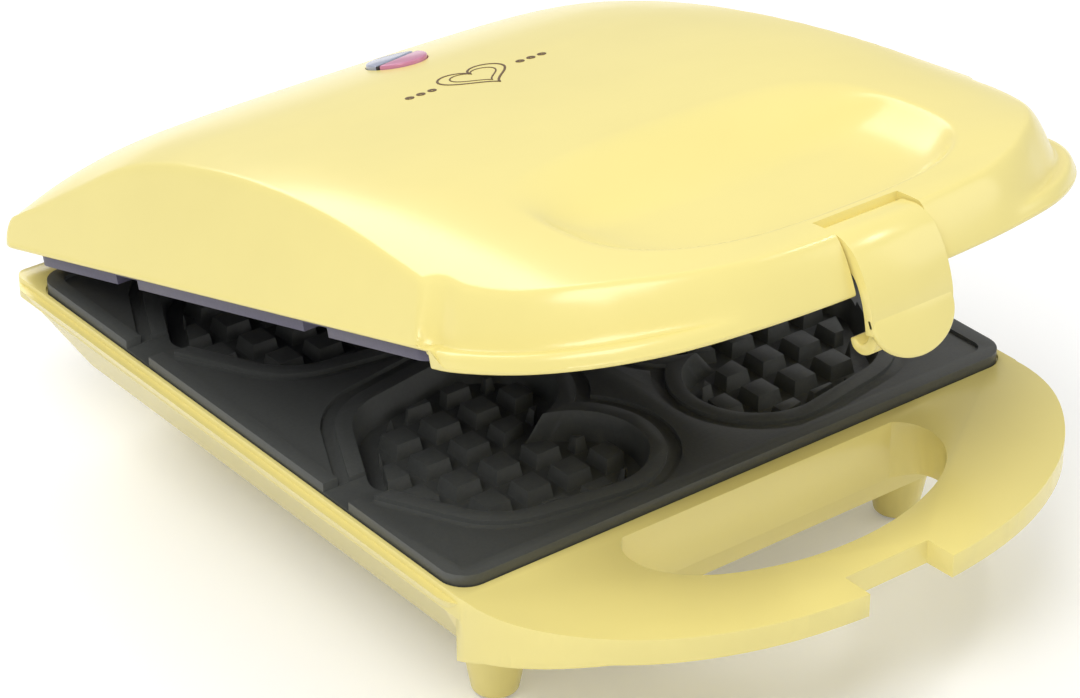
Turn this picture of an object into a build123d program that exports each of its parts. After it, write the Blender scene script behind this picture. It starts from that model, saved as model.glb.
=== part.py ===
"""Heart waffle maker, opened a little: lid, base, two heart plates and a catch. Millimetres.

Everything is built with the lid closed: X across, Y from the plates' front edge to the hinge,
Z up from the base's deck. The lid's parts are then turned open about the hinge, and all parts
are moved so that the feet stand on Z 0 with the box centred on X and Y.
"""

import os

from build123d import *

# overall placing
DECK_HEIGHT = 51.0
REST_ANGLE = 15.9

# plates
PLATE_WIDTH = 200.0
PLATE_DEPTH = 212.0
PLATE_CORNER = 8.0
ORIGIN_Y = PLATE_DEPTH / 2 - 23.92
PLATE_RIM_WIDTH = 5.0
PLATE_RIM_HEIGHT = 4.4
RIM_ABOVE_LAND = 1.2
SHEET = 2.5
PLATE_TOP = 3.3
PLATE_GAP = 0.2
PLATE_SIDE_CLEARANCE = 0.4
SEAT_GAP = 0.05
MOULD_DEPTH = 9.0
MOULD_TAPER = 0.2
MOULD_WALL = 2.4
MOULD_ROWS = (PLATE_DEPTH / 2 - 50.0, PLATE_DEPTH / 2 + 50.0)
POST_PITCH = 14.0
POST_SIZE = 9.4
POST_HEIGHT = 4.6
POST_INSET = 4.5
GROOVE_LAND = 4.8
GROOVE_WIDTH = 4.2
GROOVE_DEPTH = 1.4
STICK_WIDTH = 12.0
STICK_DEPTH = 2.2
HEART_CIRCLES = ((33.0, 20.5, 21.0), (56.5, 15.5, 22.0), (80.0, 0.0, 8.0))

# base
WALL = 2.5
BASE_HALF = 104.0
BASE_BACK = PLATE_DEPTH + 11.5
BASE_FRONT = -5.0
FLOOR = -26.0
SIDE_RIM_DROP = 2.0
DECK = 3.0
LOOP_THICK = 7.0
ARC = (
    (-101.0, 0.0),
    (-101.0, -8.0),
    (-98.0, -20.0),
    (-90.0, -33.0),
    (-78.0, -45.0),
    (-62.0, -55.0),
    (-44.0, -62.0),
    (-24.0, -66.0),
    (0.0, -67.5),
    (24.0, -66.0),
    (44.0, -62.0),
    (62.0, -55.0),
    (78.0, -45.0),
    (90.0, -33.0),
    (98.0, -20.0),
    (101.0, -8.0),
    (101.0, 0.0),
)
OPENING = (
    (-49.0, -5.5),
    (-54.0, -13.0),
    (-53.0, -22.0),
    (-45.0, -32.0),
    (-31.0, -39.5),
    (-15.0, -43.8),
    (0.0, -45.0),
    (15.0, -43.8),
    (31.0, -39.5),
    (45.0, -32.0),
    (53.0, -22.0),
    (54.0, -13.0),
    (49.0, -5.5),
)
NOTCH_HALF = 15.0
NOTCH_BACK = -57.0
FOOT_X = 75.0
FOOT_BACK_X = 50.0
FOOT_FRONT = 17.5
FOOT_BACK = PLATE_DEPTH - 20.0
FOOT_TOP_RADIUS = 11.0
FOOT_END_RADIUS = 6.6
PAD_RADIUS = 4.5
PAD_DEPTH = 2.0
PAD_PROUD = 0.6

# lid
LID_HALF = 104.0
LID_BACK = PLATE_DEPTH + 17.0
LID_RIM = 8.5
GRIP_RIM = 4.0
GRIP_BACK = -4.0
TOP_LINE = (
    (-66.5, 14.0),
    (-63.0, 20.0),
    (-55.0, 22.8),
    (-44.0, 23.6),
    (-30.0, 25.8),
    (0.0, 31.0),
    (40.0, 37.5),
    (80.0, 41.5),
    (120.0, 43.6),
    (160.0, 42.0),
    (190.0, 36.0),
    (210.0, 28.0),
    (222.0, 20.0),
    (229.0, 11.0),
)
CROWN = (
    (-106.0, 9.0),
    (-102.5, 17.0),
    (-97.0, 28.0),
    (-89.0, 36.0),
    (-74.0, 40.3),
    (-45.0, 42.8),
    (0.0, 44.2),
    (45.0, 42.8),
    (74.0, 40.3),
    (89.0, 36.0),
    (97.0, 28.0),
    (102.5, 17.0),
    (106.0, 9.0),
)
SCOOP_CENTRE_Y = -8.0
SCOOP_HALF_X = 62.0
SCOOP_HALF_Y = 31.0
SCOOP_FLOOR = 14.5

# hinge
HINGE_Y = PLATE_DEPTH + 14.0
HINGE_Z = 3.0
HINGE_X = 65.0
HINGE_PIN_RADIUS = 2.0
KNUCKLE_RADIUS = 4.4
LID_KNUCKLE = 7.0
BASE_LUG = 6.0
LUG_GAP = 0.5
PRESS_FIT = 0.02
RUNNING_FIT = 0.05

# latch
LATCH_HALF = 14.0
LATCH_SIDE_GAP = 0.6
LATCH_Y = -57.0
LATCH_Z = 15.5
LATCH_PIN_RADIUS = 1.5
LATCH_PIN_HALF = 19.0
LATCH_BARREL = 5.0
TONGUE_HALF = 9.0
COVER_SCREWS = ((-82.0, -18.0), (82.0, -18.0))

# heaters
TUBE_RADIUS = 3.25
TUBE_DROP = 16.6
REFLECTOR_DROP = 21.2
REFLECTOR_THICK = 0.6
SCREW_RADIUS = 1.6
BOSS_RADIUS = 4.2
PLATE_SCREWS = ((0.0, 12.0), (0.0, PLATE_DEPTH / 2), (0.0, PLATE_DEPTH - 12.0))
POSTS = [(x, PLATE_DEPTH / 2 + y) for x in (-60.0, 60.0) for y in (-46.0, 70.0)]

# lamps
LAMP_Y = PLATE_DEPTH / 2 + 35.0
LAMP_HALF_X = 11.0
LAMP_HALF_Y = 8.0
LENS_SEAT = 40.2
LENS_SPLIT = 1.4
LEAD_RADIUS = 1.2

os.makedirs("parts", exist_ok=True)


def heart_outline(grown, height):
    """A heart on the X axis with its tip outwards, from two hulls of circles."""
    lobes = []
    for side in (-1, 1):
        with BuildSketch(Plane.XY.offset(height)) as lobe:
            with BuildLine():
                for u, v, radius in HEART_CIRCLES:
                    CenterArc((u, side * v), radius + grown, 0, 360)
            make_hull()
        lobes.append(lobe.sketch)
    return (lobes[0] + lobes[1]).face()


def heart_block(grown_top, grown_low, height, depth):
    """Four hearts as solids between two heights, each end grown by its own amount."""
    low = heart_outline(grown_low, height - depth)
    top = heart_outline(grown_top, height)
    one = Solid.make_loft([low.outer_wire(), top.outer_wire()], ruled=True)
    with BuildPart() as four:
        for row in MOULD_ROWS:
            for turn in (0, 180):
                add(one.moved(Location((0, row, 0), (0, 0, turn))))
    return four.part


def rounded_rectangle(x_size, y_size, y_middle, radius):
    with BuildSketch() as area:
        with Locations((0, y_middle)):
            RectangleRounded(x_size, y_size, radius)
    return area.sketch


def spline_area(points):
    with BuildSketch() as area:
        with BuildLine():
            Spline(*points)
            Line(points[-1], points[0])
        make_face()
    return area.sketch


def build_plate():
    """One heart plate, face up, its rim's top at PLATE_TOP."""
    land = PLATE_TOP - RIM_ABOVE_LAND
    floor = land - MOULD_DEPTH
    middle = PLATE_DEPTH / 2
    slope = MOULD_DEPTH * MOULD_TAPER
    body = rounded_rectangle(PLATE_WIDTH, PLATE_DEPTH, middle, PLATE_CORNER)
    inner = rounded_rectangle(
        PLATE_WIDTH - 2 * PLATE_RIM_WIDTH, PLATE_DEPTH - 2 * PLATE_RIM_WIDTH, middle, 4
    )
    outer = GROOVE_LAND + GROOVE_WIDTH
    groove = heart_block(outer, outer, land + 1, GROOVE_DEPTH + 1)
    groove = groove - heart_block(GROOVE_LAND, GROOVE_LAND, land + 2, 5)
    groove = groove & extrude(Pos(0, 0, land - 3) * inner, 6)
    with BuildPart() as plate:
        with BuildSketch(Plane.XY.offset(PLATE_TOP - PLATE_RIM_HEIGHT)):
            add(body)
        extrude(amount=PLATE_RIM_HEIGHT)
        with BuildSketch(Plane.XY.offset(land)):
            add(inner)
        extrude(amount=RIM_ABOVE_LAND, mode=Mode.SUBTRACT)
        with BuildSketch(Plane.XY.offset(land - SHEET - 2)):
            add(inner)
        extrude(amount=2, mode=Mode.SUBTRACT)
        add(heart_block(MOULD_WALL, MOULD_WALL - slope, land - 1, MOULD_DEPTH + SHEET - 1))
        add(heart_block(0, -slope, land, MOULD_DEPTH), mode=Mode.SUBTRACT)
        add(groove, mode=Mode.SUBTRACT)
        with BuildSketch(Plane.XY.offset(PLATE_TOP)):
            for row in MOULD_ROWS:
                with Locations((-PLATE_WIDTH / 2 + 8, row), (PLATE_WIDTH / 2 - 8, row)):
                    Rectangle(24, STICK_WIDTH)
        extrude(amount=-STICK_DEPTH - RIM_ABOVE_LAND / 2, mode=Mode.SUBTRACT)
        with Locations(*[(x, y, land - SHEET + 0.01) for x, y in PLATE_SCREWS]):
            Cylinder(BOSS_RADIUS, 4, align=(Align.CENTER, Align.CENTER, Align.MAX))
            Cylinder(SCREW_RADIUS, 4.2, align=(Align.CENTER, Align.CENTER, Align.MAX), mode=Mode.SUBTRACT)
    with BuildPart() as posts:
        with BuildSketch(Plane.XY.offset(floor - 0.2)):
            for row in MOULD_ROWS:
                with Locations((0, row)):
                    with GridLocations(POST_PITCH, POST_PITCH, 12, 6):
                        Rectangle(POST_SIZE, POST_SIZE)
        extrude(amount=POST_HEIGHT + 0.2, taper=10)
    inset = POST_INSET + slope
    clipped = posts.part & heart_block(-inset, -inset, floor + POST_HEIGHT + 1, POST_HEIGHT + 1.2)
    return plate.part + clipped


plate_down = build_plate()
lower_plate = plate_down
turned = plate_down.rotate(Axis((0, PLATE_DEPTH / 2, PLATE_TOP + PLATE_GAP / 2), (1, 0, 0)), 180)
upper_plate = turned


def tube_loop(z_middle):
    """Tube heater path: an open loop with two ends at the back."""
    left, right = -52, 52
    front, back = MOULD_ROWS[0] - 6, MOULD_ROWS[1] + 9
    with BuildPart() as tube:
        with BuildLine() as path:
            FilletPolyline(
                (-14, back + 18, z_middle),
                (-14, back, z_middle),
                (left, back, z_middle),
                (left, front, z_middle),
                (right, front, z_middle),
                (right, back, z_middle),
                (14, back, z_middle),
                (14, back + 18, z_middle),
                radius=9,
            )
        with BuildSketch(Plane(path.line @ 0, z_dir=path.line % 0)):
            Circle(TUBE_RADIUS)
        sweep(path=path.line)
    return tube.part


mirror_z = 2 * PLATE_TOP + PLATE_GAP
lower_tube_z = PLATE_TOP - TUBE_DROP
upper_tube_z = mirror_z - lower_tube_z
lower_sheet_z = PLATE_TOP - REFLECTOR_DROP
upper_sheet_z = mirror_z - lower_sheet_z
lower_element = tube_loop(lower_tube_z)
upper_element = tube_loop(upper_tube_z)

with BuildPart() as sheet:
    with BuildSketch(Plane.XY.offset(lower_sheet_z)):
        with Locations((0, PLATE_DEPTH / 2 + 6)):
            RectangleRounded(PLATE_WIDTH - 54, PLATE_DEPTH - 68, 8)
        with Locations((0, PLATE_DEPTH / 2)):
            Circle(BOSS_RADIUS + 1.5, mode=Mode.SUBTRACT)
        with Locations(*POSTS):
            Circle(SCREW_RADIUS + 0.1, mode=Mode.SUBTRACT)
    extrude(amount=REFLECTOR_THICK)
lower_reflector = sheet.part
upper_reflector = sheet.part.rotate(Axis((0, 0, mirror_z / 2), (0, 1, 0)), 180)

CLIP_SPOTS = [(x, PLATE_DEPTH / 2 + y) for x in (-52, 52) for y in (-26, 24)]
with BuildPart() as clips:
    top = lower_tube_z
    for x, y in CLIP_SPOTS:
        with Locations((x, y, lower_sheet_z + REFLECTOR_THICK)):
            Box(11, 9, top - lower_sheet_z - REFLECTOR_THICK, align=(Align.CENTER, Align.CENTER, Align.MIN))
    for x, y in CLIP_SPOTS:
        with Locations((x, y, top)):
            Cylinder(TUBE_RADIUS + PRESS_FIT, 12, rotation=(90, 0, 0), mode=Mode.SUBTRACT)
lower_element_clips = clips.part
upper_element_clips = clips.part.rotate(Axis((0, 0, mirror_z / 2), (0, 1, 0)), 180)


def base_form(inset):
    """The tub as a solid, shrunk by an inset, with its open top at the deck."""
    top_half = BASE_HALF - inset
    end_half = 90.0 - inset
    front = BASE_FRONT + inset
    back = BASE_BACK - inset
    with BuildPart() as form:
        with BuildSketch(Plane.XY.offset(-SIDE_RIM_DROP)):
            with Locations((0, (front + back) / 2)):
                RectangleRounded(2 * top_half, back - front, 10 - inset)
        with BuildSketch(Plane.XY.offset(FLOOR + inset)):
            with Locations((0, (front + back) / 2 - 4)):
                RectangleRounded(2 * end_half, back - front - 12, 14 - inset)
        loft()
    return form.part


with BuildPart() as base:
    add(base_form(0))
    with BuildSketch():
        with Locations((0, (BASE_BACK + BASE_FRONT) / 2)):
            RectangleRounded(203, BASE_BACK - BASE_FRONT, 4)
        add(spline_area(ARC))
    extrude(amount=-LOOP_THICK)
with BuildPart() as roots:
    with BuildSketch(Plane.YZ.offset(-110)):
        Polygon((-66, -LOOP_THICK), (-42, -LOOP_THICK - 1), (-12, -16), (2, -22), (2, -1), (-66, -1), align=None)
    extrude(amount=220)
    with BuildSketch(Plane.XY.offset(-30)):
        add(spline_area(ARC))
    extrude(amount=40, mode=Mode.INTERSECT)
base_solid = base.part + roots.part
with BuildPart() as loop_hole:
    with BuildSketch(Plane.XY.offset(1)):
        add(spline_area(OPENING))
    extrude(amount=-40)
    with BuildSketch(Plane.XY.offset(1)):
        with Locations((0, NOTCH_BACK - 10)):
            Rectangle(2 * NOTCH_HALF, 20)
    extrude(amount=-20)
cavity = base_form(WALL)
with BuildPart() as mouth:
    with BuildSketch(Plane.XY.offset(-12)):
        with Locations((0, PLATE_DEPTH / 2)):
            RectangleRounded(PLATE_WIDTH - 8, PLATE_DEPTH - 8, 6)
    extrude(amount=20)
    with BuildSketch(Plane.XY.offset(PLATE_TOP - PLATE_RIM_HEIGHT - SEAT_GAP)):
        with Locations((0, PLATE_DEPTH / 2)):
            RectangleRounded(
                PLATE_WIDTH + 2 * PLATE_SIDE_CLEARANCE,
                PLATE_DEPTH + 2 * PLATE_SIDE_CLEARANCE,
                PLATE_CORNER,
            )
    extrude(amount=20)
with BuildPart() as under_deck:
    with BuildSketch(Plane.XY.offset(-DECK - 1.2)):
        with Locations((0, (BASE_BACK + BASE_FRONT) / 2)):
            Rectangle(230, 300)
    extrude(amount=-40)
hollow = (cavity & under_deck.part) + mouth.part
shell = base_solid - loop_hole.part - hollow
FOOT_SPOTS = [(-FOOT_X, FOOT_FRONT), (FOOT_X, FOOT_FRONT)]
FOOT_SPOTS += [(-FOOT_BACK_X, FOOT_BACK), (FOOT_BACK_X, FOOT_BACK)]
foot_height = DECK_HEIGHT - PAD_PROUD + FLOOR
pad_top = PAD_DEPTH - DECK_HEIGHT
with BuildPart() as feet:
    with Locations(*[(x, y, PAD_PROUD - DECK_HEIGHT) for x, y in FOOT_SPOTS]):
        Cone(
            FOOT_END_RADIUS,
            FOOT_TOP_RADIUS,
            foot_height,
            align=(Align.CENTER, Align.CENTER, Align.MIN),
        )
    ends = feet.edges().filter_by(GeomType.CIRCLE).filter_by_position(
        Axis.Z, PAD_PROUD - DECK_HEIGHT - 0.1, PAD_PROUD - DECK_HEIGHT + 0.1
    )
    fillet(ends, 1.6)
    with Locations(*[(x, y, pad_top) for x, y in FOOT_SPOTS]):
        Cylinder(
            PAD_RADIUS,
            PAD_DEPTH,
            align=(Align.CENTER, Align.CENTER, Align.MAX),
            mode=Mode.SUBTRACT,
        )
with BuildPart() as foot_pads:
    with Locations(*[(x, y, pad_top) for x, y in FOOT_SPOTS]):
        Cylinder(
            PAD_RADIUS - PRESS_FIT, PAD_DEPTH, align=(Align.CENTER, Align.CENTER, Align.MAX)
        )

floor_top = FLOOR + WALL
land_under = PLATE_TOP - RIM_ABOVE_LAND - SHEET
boss_end = land_under - 4
BLOCK_Y = PLATE_DEPTH - 6.0
GLAND_X = 30.0
GLAND_Z = -13.0
GLAND_RADIUS = 5.0
CORD_RADIUS = 3.2
with BuildPart() as base_inside:
    with Locations(*[(x, y, FLOOR + 1) for x, y in PLATE_SCREWS]):
        Cylinder(
            BOSS_RADIUS, boss_end - FLOOR - 1.05, align=(Align.CENTER, Align.CENTER, Align.MIN)
        )
    with Locations(*[(x, y, FLOOR + 1) for x, y in POSTS]):
        Cylinder(
            BOSS_RADIUS,
            lower_sheet_z - FLOOR - 1.03,
            align=(Align.CENTER, Align.CENTER, Align.MIN),
        )
with BuildPart() as base_holes:
    with Locations(*[(x, y, FLOOR - 1) for x, y in PLATE_SCREWS]):
        Cylinder(
            SCREW_RADIUS + 0.15, 40, align=(Align.CENTER, Align.CENTER, Align.MIN)
        )
        Cylinder(3.4, 4, align=(Align.CENTER, Align.CENTER, Align.MIN))
    with Locations((GLAND_X, BASE_BACK - 8, GLAND_Z)):
        Cylinder(GLAND_RADIUS, 30, rotation=(90, 0, 0))


def knuckles(spots, width, radius):
    """Hinge barrels of one width, centred on the hinge axis at several X."""
    with BuildPart() as barrels:
        with Locations(*[(x, HINGE_Y, HINGE_Z) for x in spots]):
            Cylinder(radius, width, rotation=(0, 90, 0))
    return barrels.part


lug_offset = LID_KNUCKLE / 2 + LUG_GAP + BASE_LUG / 2
LUG_SPOTS = [sx * HINGE_X + side * lug_offset for sx in (-1, 1) for side in (-1, 1)]
KNUCKLE_SPOTS = (-HINGE_X, HINGE_X)
with BuildPart() as base_lugs:
    with Locations(*[(x, BASE_BACK, -LOOP_THICK) for x in LUG_SPOTS]):
        Box(
            BASE_LUG,
            HINGE_Y - BASE_BACK + KNUCKLE_RADIUS * 0.9,
            HINGE_Z + LOOP_THICK,
            align=(Align.CENTER, Align.MIN, Align.MIN),
        )
base_arms = base_lugs.part + knuckles(LUG_SPOTS, BASE_LUG, KNUCKLE_RADIUS)
pin_bore = knuckles(LUG_SPOTS, BASE_LUG + 2, HINGE_PIN_RADIUS + PRESS_FIT)
lid_sweep = knuckles(KNUCKLE_SPOTS, LID_KNUCKLE + 2 * LUG_GAP, KNUCKLE_RADIUS + 0.8)
base_shell = shell + base_inside.part - base_holes.part - lid_sweep
hinge_lugs = base_arms - base_shell - pin_bore

pin_length = LID_KNUCKLE + 2 * (BASE_LUG + LUG_GAP)
hinge_pins = knuckles(KNUCKLE_SPOTS, pin_length, HINGE_PIN_RADIUS)

with BuildPart() as cord_gland:
    with Locations((GLAND_X, BASE_BACK - 8, GLAND_Z)):
        Cylinder(GLAND_RADIUS - PRESS_FIT, 22, rotation=(90, 0, 0))
        Cylinder(CORD_RADIUS, 24, rotation=(90, 0, 0), mode=Mode.SUBTRACT)

with BuildPart() as terminal_block:
    with Locations((-26, BLOCK_Y, floor_top)):
        Box(26, 10, 9, align=(Align.CENTER, Align.CENTER, Align.MIN))
    with Locations((-33, BLOCK_Y, floor_top + 9), (-19, BLOCK_Y, floor_top + 9)):
        Cylinder(2.2, 3, align=(Align.CENTER, Align.CENTER, Align.MAX), mode=Mode.SUBTRACT)


def screws_up(spots, head_z, length):
    """Pan-head screws pointing up from a height, one solid each."""
    with BuildPart() as screws:
        with Locations(*[(x, y, head_z) for x, y in spots]):
            Cylinder(3.0, 1.8, align=(Align.CENTER, Align.CENTER, Align.MIN))
            Cylinder(
                SCREW_RADIUS - PRESS_FIT, length, align=(Align.CENTER, Align.CENTER, Align.MIN)
            )
            Cylinder(1.4, 0.7, align=(Align.CENTER, Align.CENTER, Align.MIN), mode=Mode.SUBTRACT)
    return screws.part


lower_plate_screws = screws_up(PLATE_SCREWS, FLOOR + 1.2, boss_end + 3 - FLOOR - 1.2)


def lid_form(inset, bottom):
    """The lid as a solid: side profile, crown and plan outline crossed with each other."""
    length = LID_BACK / TOP_LINE[-1][0]
    top = [(y * length if y > 0 else y, z - inset) for y, z in TOP_LINE]
    top[0] = (TOP_LINE[0][0], TOP_LINE[0][1] - 2 * inset)
    top[-1] = (LID_BACK, TOP_LINE[-1][1] - 2 * inset)
    width = (LID_HALF - inset) / CROWN[-1][0]
    crown = [(x * width, z - inset) for x, z in CROWN]
    scale = 1 - inset / 66.0
    plan = [(x * (LID_HALF - inset) / 101.0, y * scale) for x, y in ARC]
    with BuildPart() as form:
        with BuildSketch(Plane.YZ.offset(-120)):
            with BuildLine():
                Spline(*top)
                Polyline(top[-1], (top[-1][0], bottom), (top[0][0], bottom), top[0])
            make_face()
        extrude(amount=240)
        with BuildSketch(Plane.XZ.offset(90)):
            with BuildLine():
                Spline(*crown)
                Polyline(crown[-1], (crown[-1][0], bottom), (crown[0][0], bottom), crown[0])
            make_face()
        extrude(amount=-(90 + 2 * LID_BACK), mode=Mode.INTERSECT)
        with BuildSketch(Plane.XY.offset(bottom)):
            with Locations((0, (LID_BACK - inset) / 2 - 5)):
                RectangleRounded(2 * (LID_HALF - inset), LID_BACK - inset + 10, 11)
            add(spline_area(plan))
            with Locations((0, 0)):
                Rectangle(2 * (LID_HALF - inset), 20, align=(Align.CENTER, Align.MIN))
        extrude(amount=60, taper=0, mode=Mode.INTERSECT)
    return form.part


def scoop(grown):
    """The thumb recess behind the grip, as a deep dish."""
    sketch_top = Plane.XY.offset(40)
    with BuildPart() as dish:
        with BuildSketch(Plane.XY.offset(SCOOP_FLOOR - grown)):
            with Locations((0, SCOOP_CENTRE_Y - 4)):
                Ellipse(SCOOP_HALF_X - 14 + grown, SCOOP_HALF_Y - 13 + grown)
        with BuildSketch(sketch_top):
            with Locations((0, SCOOP_CENTRE_Y + 8)):
                Ellipse(SCOOP_HALF_X + 12 + grown, SCOOP_HALF_Y + 16 + grown)
        loft()
    return dish.part


outer = lid_form(0, GRIP_RIM)
with BuildPart() as rim_step:
    with Locations((0, GRIP_BACK, 0)):
        Box(240, 260, LID_RIM, align=(Align.CENTER, Align.MIN, Align.MIN))
inner = lid_form(WALL, GRIP_RIM - 2) - scoop(WALL)
lid_outer = outer - rim_step.part - scoop(0)
with BuildPart() as lid_inside:
    with Locations(*[(x, y, mirror_z - boss_end + 0.05) for x, y in PLATE_SCREWS[1:]]):
        Cylinder(BOSS_RADIUS, 40, align=(Align.CENTER, Align.CENTER, Align.MIN))
    with Locations(*[(x, y, upper_sheet_z + 0.03) for x, y in POSTS]):
        Cylinder(BOSS_RADIUS, 40, align=(Align.CENTER, Align.CENTER, Align.MIN))
    with Locations(*[(x, y, GRIP_RIM + 2.02) for x, y in COVER_SCREWS]):
        Cylinder(BOSS_RADIUS, 40, align=(Align.CENTER, Align.CENTER, Align.MIN))
    with Locations(*[(sx * HINGE_X, HINGE_Y - 1, HINGE_Z) for sx in (-1, 1)]):
        Box(LID_KNUCKLE, 4, 18, align=(Align.CENTER, Align.CENTER, Align.MIN))
ribs = lid_inside.part & outer
lid_arms = ribs + knuckles(KNUCKLE_SPOTS, LID_KNUCKLE, KNUCKLE_RADIUS)
lug_sweep = knuckles(LUG_SPOTS, BASE_LUG + LUG_GAP, KNUCKLE_RADIUS + 1.2)
lid_bore = knuckles(KNUCKLE_SPOTS, LID_KNUCKLE + 2, HINGE_PIN_RADIUS + RUNNING_FIT)
slot_half = LATCH_HALF + LATCH_SIDE_GAP
with BuildPart() as slot:
    with Locations((0, -80, -5)):
        Box(2 * slot_half, 32, 40, align=(Align.CENTER, Align.MIN, Align.MIN))
with BuildPart() as slot_walls:
    with Locations((0, -80, GRIP_RIM)):
        Box(
            2 * (slot_half + WALL), 32 + WALL, 40, align=(Align.CENTER, Align.MIN, Align.MIN)
        )
walls = slot_walls.part & outer
with BuildPart() as latch_bore:
    with Locations((0, LATCH_Y, LATCH_Z)):
        Cylinder(LATCH_PIN_RADIUS + PRESS_FIT, 2 * LATCH_PIN_HALF, rotation=(0, 90, 0))
with BuildPart() as screw_bores:
    with Locations(*[(x, y, GRIP_RIM) for x, y in COVER_SCREWS]):
        Cylinder(SCREW_RADIUS, 8.4, align=(Align.CENTER, Align.CENTER, Align.MIN))
    with Locations(*[(x, y, mirror_z - boss_end - 1) for x, y in PLATE_SCREWS[1:]]):
        Cylinder(SCREW_RADIUS, 9.4, align=(Align.CENTER, Align.CENTER, Align.MIN))
with BuildPart() as lamp_hole:
    with BuildSketch(Plane.XY.offset(30)):
        with Locations((0, LAMP_Y)):
            Ellipse(LAMP_HALF_X, LAMP_HALF_Y)
    extrude(amount=20)
lid_shell = (lid_outer - inner) + (walls - scoop(0)) - slot.part
lid_shell = lid_shell - lug_sweep + lid_arms - lid_bore
lid_shell = lid_shell - latch_bore.part - lamp_hole.part - screw_bores.part


with BuildPart() as grip_cover:
    cover_inset = WALL + 0.15
    scale = 1 - cover_inset / 66.0
    plan = [(x * (LID_HALF - cover_inset) / 101.0, y * scale) for x, y in ARC]
    with BuildSketch(Plane.XY.offset(GRIP_RIM)):
        add(spline_area(plan))
        with Locations((0, GRIP_BACK - 2)):
            Rectangle(240, 40, align=(Align.CENTER, Align.MIN), mode=Mode.SUBTRACT)
        with Locations((0, -80)):
            Rectangle(
                2 * (slot_half + WALL + 0.15),
                32 + WALL + 0.15,
                align=(Align.CENTER, Align.MIN),
                mode=Mode.SUBTRACT,
            )
    extrude(amount=2)
    with Locations(*[(x, y, GRIP_RIM) for x, y in COVER_SCREWS]):
        Cylinder(SCREW_RADIUS + 0.1, 9, align=(Align.CENTER, Align.CENTER, Align.CENTER), mode=Mode.SUBTRACT)
        Cylinder(3.2, 2, align=(Align.CENTER, Align.CENTER, Align.CENTER), mode=Mode.SUBTRACT)
with BuildPart() as cover_screws:
    with Locations(*[(x, y, GRIP_RIM + 0.2) for x, y in COVER_SCREWS]):
        Cylinder(3.0, 0.8, align=(Align.CENTER, Align.CENTER, Align.MIN))
        Cylinder(SCREW_RADIUS - PRESS_FIT, 8, align=(Align.CENTER, Align.CENTER, Align.MIN))
        Box(4.2, 0.8, 0.4, align=(Align.CENTER, Align.CENTER, Align.MIN), mode=Mode.SUBTRACT)
with BuildPart() as studs:
    with Locations(*[(x, y, mirror_z - boss_end - 3) for x, y in PLATE_SCREWS[1:]]):
        Cylinder(SCREW_RADIUS - PRESS_FIT, 11, align=(Align.CENTER, Align.CENTER, Align.MIN))

with BuildPart() as latch:
    with BuildSketch(Plane.YZ.offset(-LATCH_HALF)):
        with BuildLine():
            Spline(
                (LATCH_Y + 1, LATCH_Z + LATCH_BARREL),
                (-62.5, 20.2),
                (-68.5, 14.5),
                (-71.0, 5.0),
                (-70.4, -3.0),
                tangents=((-1, 0.05), (0.2, -1)),
            )
            Polyline((-70.4, -3.0), (-66.8, -3.0), (-67.0, 4.0), (-64.2, 11.0), (LATCH_Y - 4, LATCH_Z - 2.5))
            Polyline(
                (LATCH_Y - 4, LATCH_Z - 2.5),
                (LATCH_Y, LATCH_Z - LATCH_BARREL),
                (LATCH_Y + 4, LATCH_Z - 2.5),
                (LATCH_Y + LATCH_BARREL, LATCH_Z),
                (LATCH_Y + 4, LATCH_Z + 3),
                (LATCH_Y + 1, LATCH_Z + LATCH_BARREL),
            )
        make_face()
    extrude(amount=2 * LATCH_HALF)
    with BuildSketch(Plane.YZ.offset(-TONGUE_HALF)):
        Polygon(
            (-70.5, 0),
            (-70.2, -5),
            (-68.5, -11),
            (-66, -13.5),
            (-61, -13.5),
            (-58.7, -11.5),
            (-58.7, -8.7),
            (-63.5, -8.7),
            (-66.2, -5),
            (-66.8, 0),
            align=None,
        )
    extrude(amount=2 * TONGUE_HALF)
    with Locations((0, LATCH_Y, LATCH_Z)):
        Cylinder(
            LATCH_PIN_RADIUS + RUNNING_FIT, 40, rotation=(0, 90, 0), mode=Mode.SUBTRACT
        )
with BuildPart() as latch_pin:
    with Locations((0, LATCH_Y, LATCH_Z)):
        Cylinder(LATCH_PIN_RADIUS, 2 * (slot_half + WALL - 0.1), rotation=(0, 90, 0))


def lens(side):
    """Half of the oval pilot lamp cover, with a flange under the lid."""
    with BuildPart() as cover:
        with BuildSketch(Plane.XY.offset(LENS_SEAT - 2)):
            with Locations((0, LAMP_Y)):
                Ellipse(LAMP_HALF_X + 1.5, LAMP_HALF_Y + 1.5)
        extrude(amount=1.6)
        with BuildSketch(Plane.XY.offset(LENS_SEAT - 2)):
            with Locations((0, LAMP_Y)):
                Ellipse(LAMP_HALF_X - 0.3, LAMP_HALF_Y - 0.3)
        extrude(amount=6.2)
        top_edge = cover.edges().group_by(Axis.Z)[-1]
        fillet(top_edge, 1.6)
        with Locations((side * (LENS_SPLIT / 2), LAMP_Y, LENS_SEAT)):
            Box(
                40, 40, 20, align=(Align.MAX if side > 0 else Align.MIN, Align.CENTER, Align.CENTER), mode=Mode.SUBTRACT
            )
    return cover.part


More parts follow.
